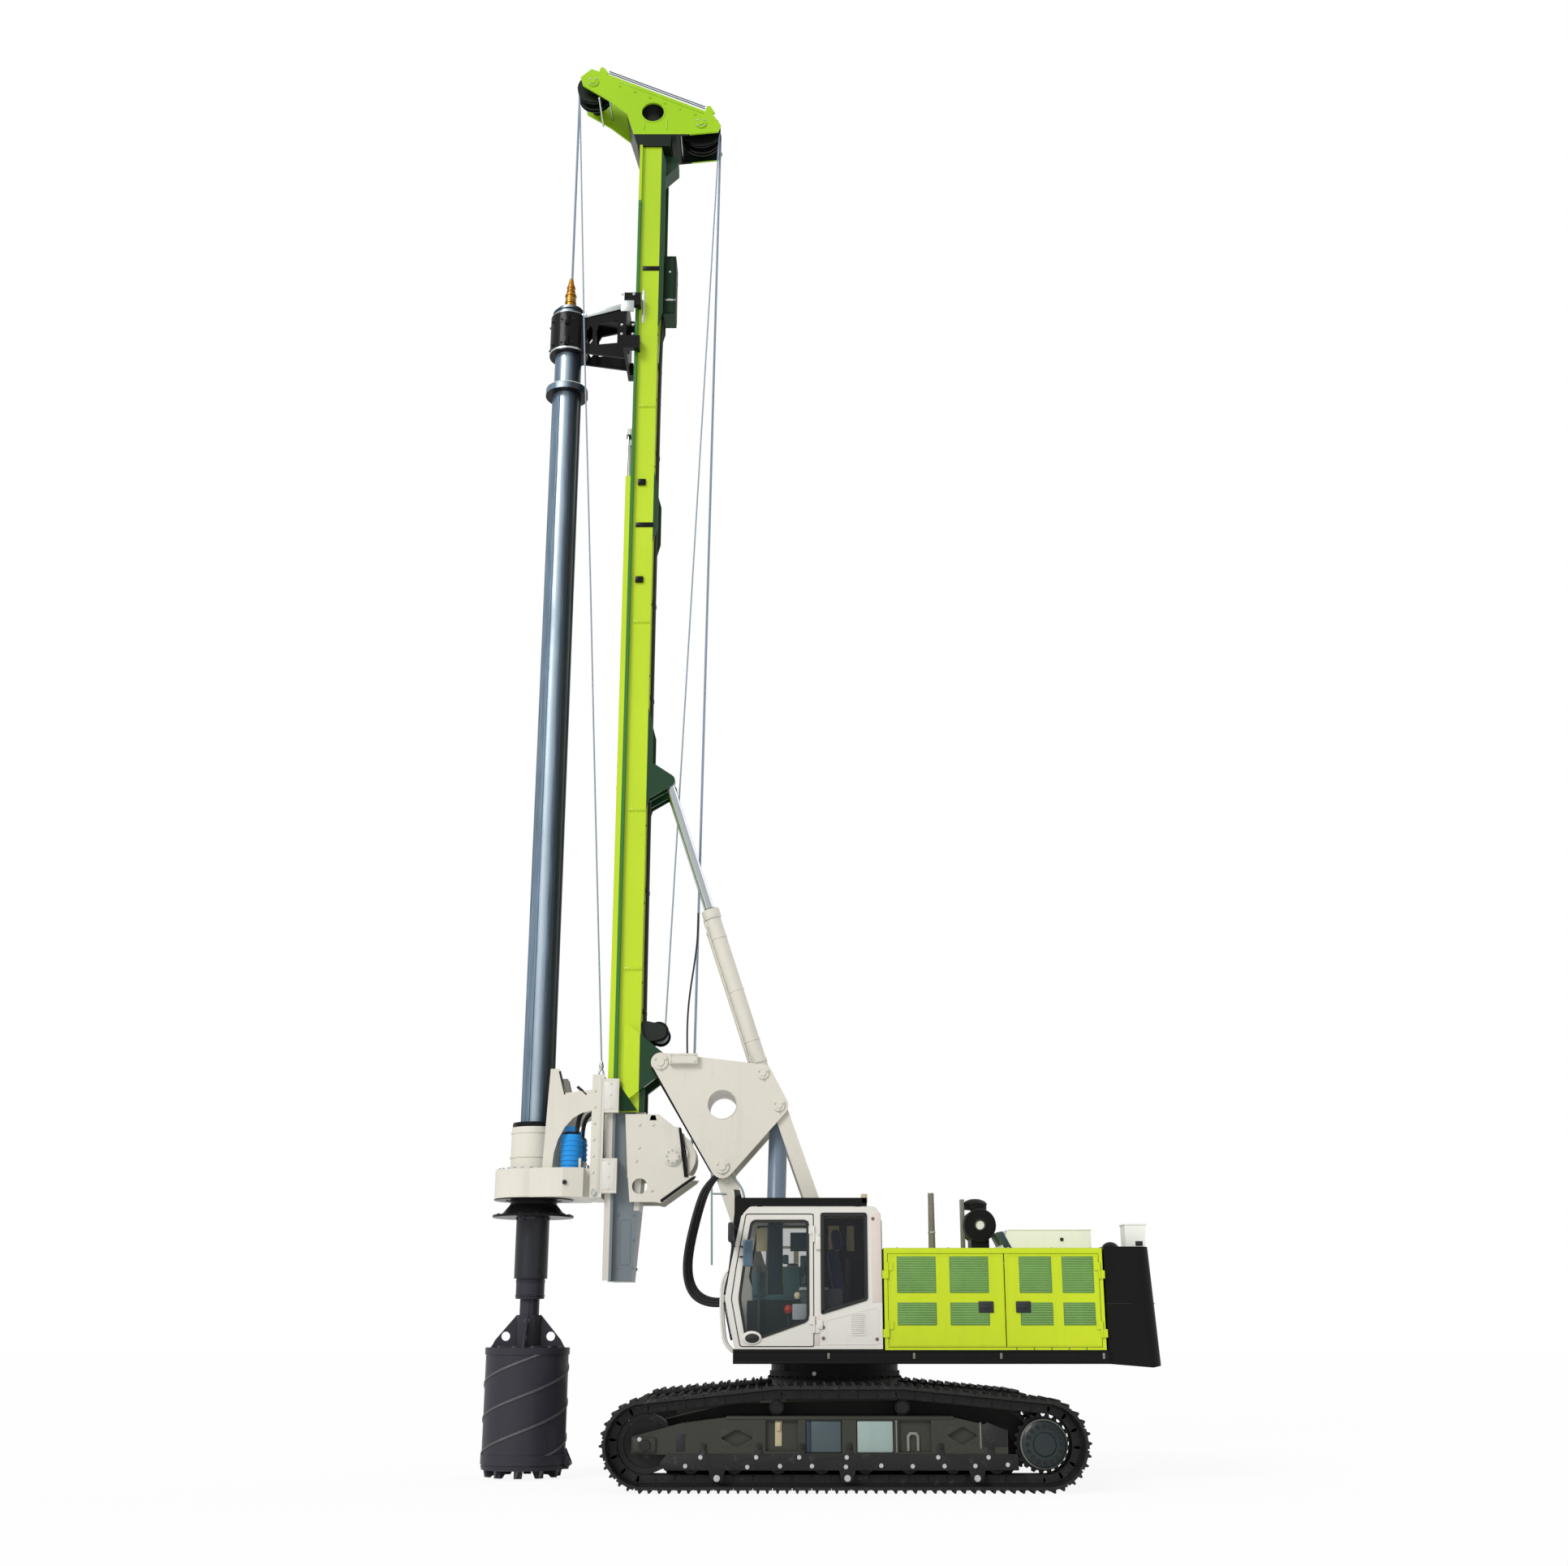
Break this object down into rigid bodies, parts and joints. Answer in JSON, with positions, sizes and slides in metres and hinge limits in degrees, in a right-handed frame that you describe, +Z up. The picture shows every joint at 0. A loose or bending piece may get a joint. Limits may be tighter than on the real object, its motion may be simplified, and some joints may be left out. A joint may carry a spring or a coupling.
{
  "type": "rotary piling rig",
  "caption": "Crawler-mounted rotary drilling rig with an upright mast, a telescopic kelly bar, a rotary drive and a drilling bucket.",
  "frame": {"origin": "on the ground under the middle of the rig's bounding box, 271 mm ahead of the slewing axis", "axes": "+X forward to the tool, +Y to the machine's left (cab side), +Z up"},
  "size_m": [7.982, 4.4, 19.965],
  "materials": {
    "track_black": "matte black steel",
    "frame_olive": "dark olive paint",
    "deck_black": "satin black paint",
    "warm_grey": "satin warm light grey paint",
    "cab_glass": "tinted glass",
    "seat_fabric": "woven seat cover",
    "trim_plastic": "moulded",
    "lime": "glossy lime paint",
    "engine_grey": "painted casting",
    "steel_blue": "blue-grey paint",
    "chrome_rod": "hard chrome",
    "slate_grey": "grey paint",
    "box_green": "dark green paint",
    "motor_blue": "blue paint",
    "kelly_blue": "blue-grey rolled steel",
    "tool_grey": "charcoal paint",
    "swivel_brown": "bronze-brown swivel"
  },
  "bodies": {
    "undercarriage": {"track_left": "track_black", "track_right": "track_black", "track_frames": "frame_olive", "drive_sprockets": "track_black", "front_idlers": "track_black", "track_rollers": "track_black", "car_body": "frame_olive", "slew_ring": "track_black"},
    "house": {"deck_frame": "deck_black", "boom_foot": "warm_grey", "cab_shell": "warm_grey", "cab_glass": "cab_glass", "roof_guard": "deck_black", "operator_seat": "seat_fabric", "control_consoles": "trim_plastic", "hood_shell": "lime", "engine": "engine_grey", "right_housing": "lime", "counterweight": "deck_black", "air_filter": "deck_black", "roof_cover": "warm_grey", "exhaust_pipe": "engine_grey", "rear_dome": "deck_black", "rear_box": "warm_grey"},
    "cab_door": {"cab_door": "warm_grey", "cab_door_glass": "cab_glass"},
    "front_door_left": {"front_door_left": "lime"},
    "rear_door_left": {"rear_door_left": "lime"},
    "front_door_right": {"front_door_right": "lime"},
    "rear_door_right": {"rear_door_right": "lime"},
    "boom": {"boom": "warm_grey"},
    "rear_links": {"rear_links": "warm_grey"},
    "luff_barrels": {"luff_barrels": "steel_blue"},
    "luff_rods": {"luff_rods": "chrome_rod"},
    "triangle": {"triangle": "warm_grey"},
    "mast_barrels": {"mast_barrels": "warm_grey"},
    "mast_rods": {"mast_rods": "chrome_rod"},
    "mast": {"mast_upper": "lime", "lower_mast": "slate_grey", "winch_frames": "warm_grey", "mast_head": "lime", "cable_box": "box_green", "crowd_barrel": "warm_grey"},
    "winch_drum": {"winch_drum": "warm_grey"},
    "aux_winch_drum": {"aux_winch_drum": "slate_grey"},
    "front_sheaves": {"front_sheaves": "lime"},
    "rear_sheaves": {"rear_sheaves": "deck_black"},
    "rotary_drive": {"drive_sled": "warm_grey", "crowd_rod": "chrome_rod", "gear_case": "warm_grey", "drive_motors": "motor_blue"},
    "drive_sleeve": {"drive_sleeve": "deck_black"},
    "kelly_guide": {"kelly_guide": "deck_black"},
    "kelly_outer": {"kelly_outer": "kelly_blue"},
    "kelly_inner": {"kelly_inner": "tool_grey", "rope_swivel": "swivel_brown", "bucket_bracket": "tool_grey", "bucket_shell": "tool_grey"},
    "bucket_door": {"bucket_door": "tool_grey"}
  },
  "joints": [
    {"name": "slew", "type": "hinge", "parent": "undercarriage", "child": "house", "pos_m": [-0.271, 0, 1.225], "axis": [0, 0, 1], "continuous": true},
    {"name": "cab_door_hinge", "type": "hinge", "parent": "house", "child": "cab_door", "pos_m": [-0.001, 1.513, 2], "axis": [0, 0, 1], "range_deg": [0, 90]},
    {"name": "front_door_left_hinge", "type": "hinge", "parent": "house", "child": "front_door_left", "pos_m": [-0.851, 1.513, 2], "axis": [0, 0, 1], "range_deg": [-100, 0]},
    {"name": "rear_door_left_hinge", "type": "hinge", "parent": "house", "child": "rear_door_left", "pos_m": [-3.301, 1.513, 2], "axis": [0, 0, 1], "range_deg": [0, 100]},
    {"name": "front_door_right_hinge", "type": "hinge", "parent": "house", "child": "front_door_right", "pos_m": [-0.851, -1.513, 2], "axis": [0, 0, 1], "range_deg": [0, 100]},
    {"name": "rear_door_right_hinge", "type": "hinge", "parent": "house", "child": "rear_door_right", "pos_m": [-3.301, -1.513, 2], "axis": [0, 0, 1], "range_deg": [-100, 0]},
    {"name": "boom_luff", "type": "hinge", "parent": "house", "child": "boom", "pos_m": [0.479, 0, 1.85], "axis": [0, 1, 0], "range_deg": [-12, 25]},
    {"name": "rear_link_foot", "type": "hinge", "parent": "house", "child": "rear_links", "pos_m": [-0.221, 0, 2.6], "axis": [0, 1, 0], "range_deg": [-15, 28]},
    {"name": "triangle_level", "type": "hinge", "parent": "boom", "child": "triangle", "pos_m": [1.109, 0, 3.62], "axis": [0, 1, 0], "range_deg": [-28, 15]},
    {"name": "luff_barrel_foot", "type": "hinge", "parent": "house", "child": "luff_barrels", "pos_m": [0.479, 0, 1.85], "axis": [0, 1, 0], "range_deg": [-15, 28]},
    {"name": "luff_rod_slide", "type": "slide", "parent": "luff_barrels", "child": "luff_rods", "axis": [-0.0278, 0, 0.9996], "range_m": [-0.45, 0.25]},
    {"name": "mast_raise", "type": "hinge", "parent": "triangle", "child": "mast", "pos_m": [1.899, 0, 4.91], "axis": [0, 1, 0], "range_deg": [-90, 5]},
    {"name": "mast_barrel_foot", "type": "hinge", "parent": "triangle", "child": "mast_barrels", "pos_m": [0.609, 0, 4.77], "axis": [0, 1, 0], "range_deg": [-108, 8]},
    {"name": "mast_rod_slide", "type": "slide", "parent": "mast_barrels", "child": "mast_rods", "axis": [0.3104, 0, 0.9506], "range_m": [-1.66, 0.12]},
    {"name": "crowd_slide", "type": "slide", "parent": "mast", "child": "rotary_drive", "axis": [0, 0, 1], "range_m": [-0.6, 4.9]},
    {"name": "kelly_guide_slide", "type": "slide", "parent": "mast", "child": "kelly_guide", "axis": [0, 0, 1], "range_m": [-9, 1]},
    {"name": "kelly_spin", "type": "hinge", "parent": "kelly_guide", "child": "kelly_outer", "pos_m": [3.479, 0, 15.8], "axis": [0, 0, 1], "continuous": true},
    {"name": "sleeve_spin", "type": "hinge", "parent": "rotary_drive", "child": "drive_sleeve", "pos_m": [3.479, 0, 3.4], "axis": [0, 0, 1], "continuous": true},
    {"name": "kelly_extend", "type": "slide", "parent": "kelly_outer", "child": "kelly_inner", "axis": [0, 0, 1], "range_m": [-10, 0]},
    {"name": "bucket_door_hinge", "type": "hinge", "parent": "kelly_inner", "child": "bucket_door", "pos_m": [2.934, 0, 0.165], "axis": [0, 1, 0], "range_deg": [0, 75]},
    {"name": "main_winch_spin", "type": "hinge", "parent": "mast", "child": "winch_drum", "pos_m": [1.729, 0, 3.75], "axis": [0, 1, 0], "continuous": true},
    {"name": "aux_winch_spin", "type": "hinge", "parent": "mast", "child": "aux_winch_drum", "pos_m": [1.944, 0, 5.33], "axis": [0, 1, 0], "continuous": true},
    {"name": "front_sheave_spin", "type": "hinge", "parent": "mast", "child": "front_sheaves", "pos_m": [3.229, 0, 19.7], "axis": [0, 1, 0], "continuous": true},
    {"name": "rear_sheave_spin", "type": "hinge", "parent": "mast", "child": "rear_sheaves", "pos_m": [1.589, 0, 18.96], "axis": [0, 1, 0], "continuous": true}
  ],
  "couplings": [
    {"joint": "rear_link_foot", "follows": "boom_luff", "ratio": 1},
    {"joint": "triangle_level", "follows": "boom_luff", "ratio": -1},
    {"joint": "luff_barrel_foot", "follows": "boom_luff", "ratio": 0.72419},
    {"joint": "luff_rod_slide", "follows": "boom_luff", "m_per_rad": -0.78662},
    {"joint": "mast_barrel_foot", "follows": "mast_raise", "ratio": 1.1699},
    {"joint": "mast_rod_slide", "follows": "mast_raise", "m_per_rad": 1.0371},
    {"joint": "sleeve_spin", "follows": "kelly_spin", "ratio": 1}
  ]
}
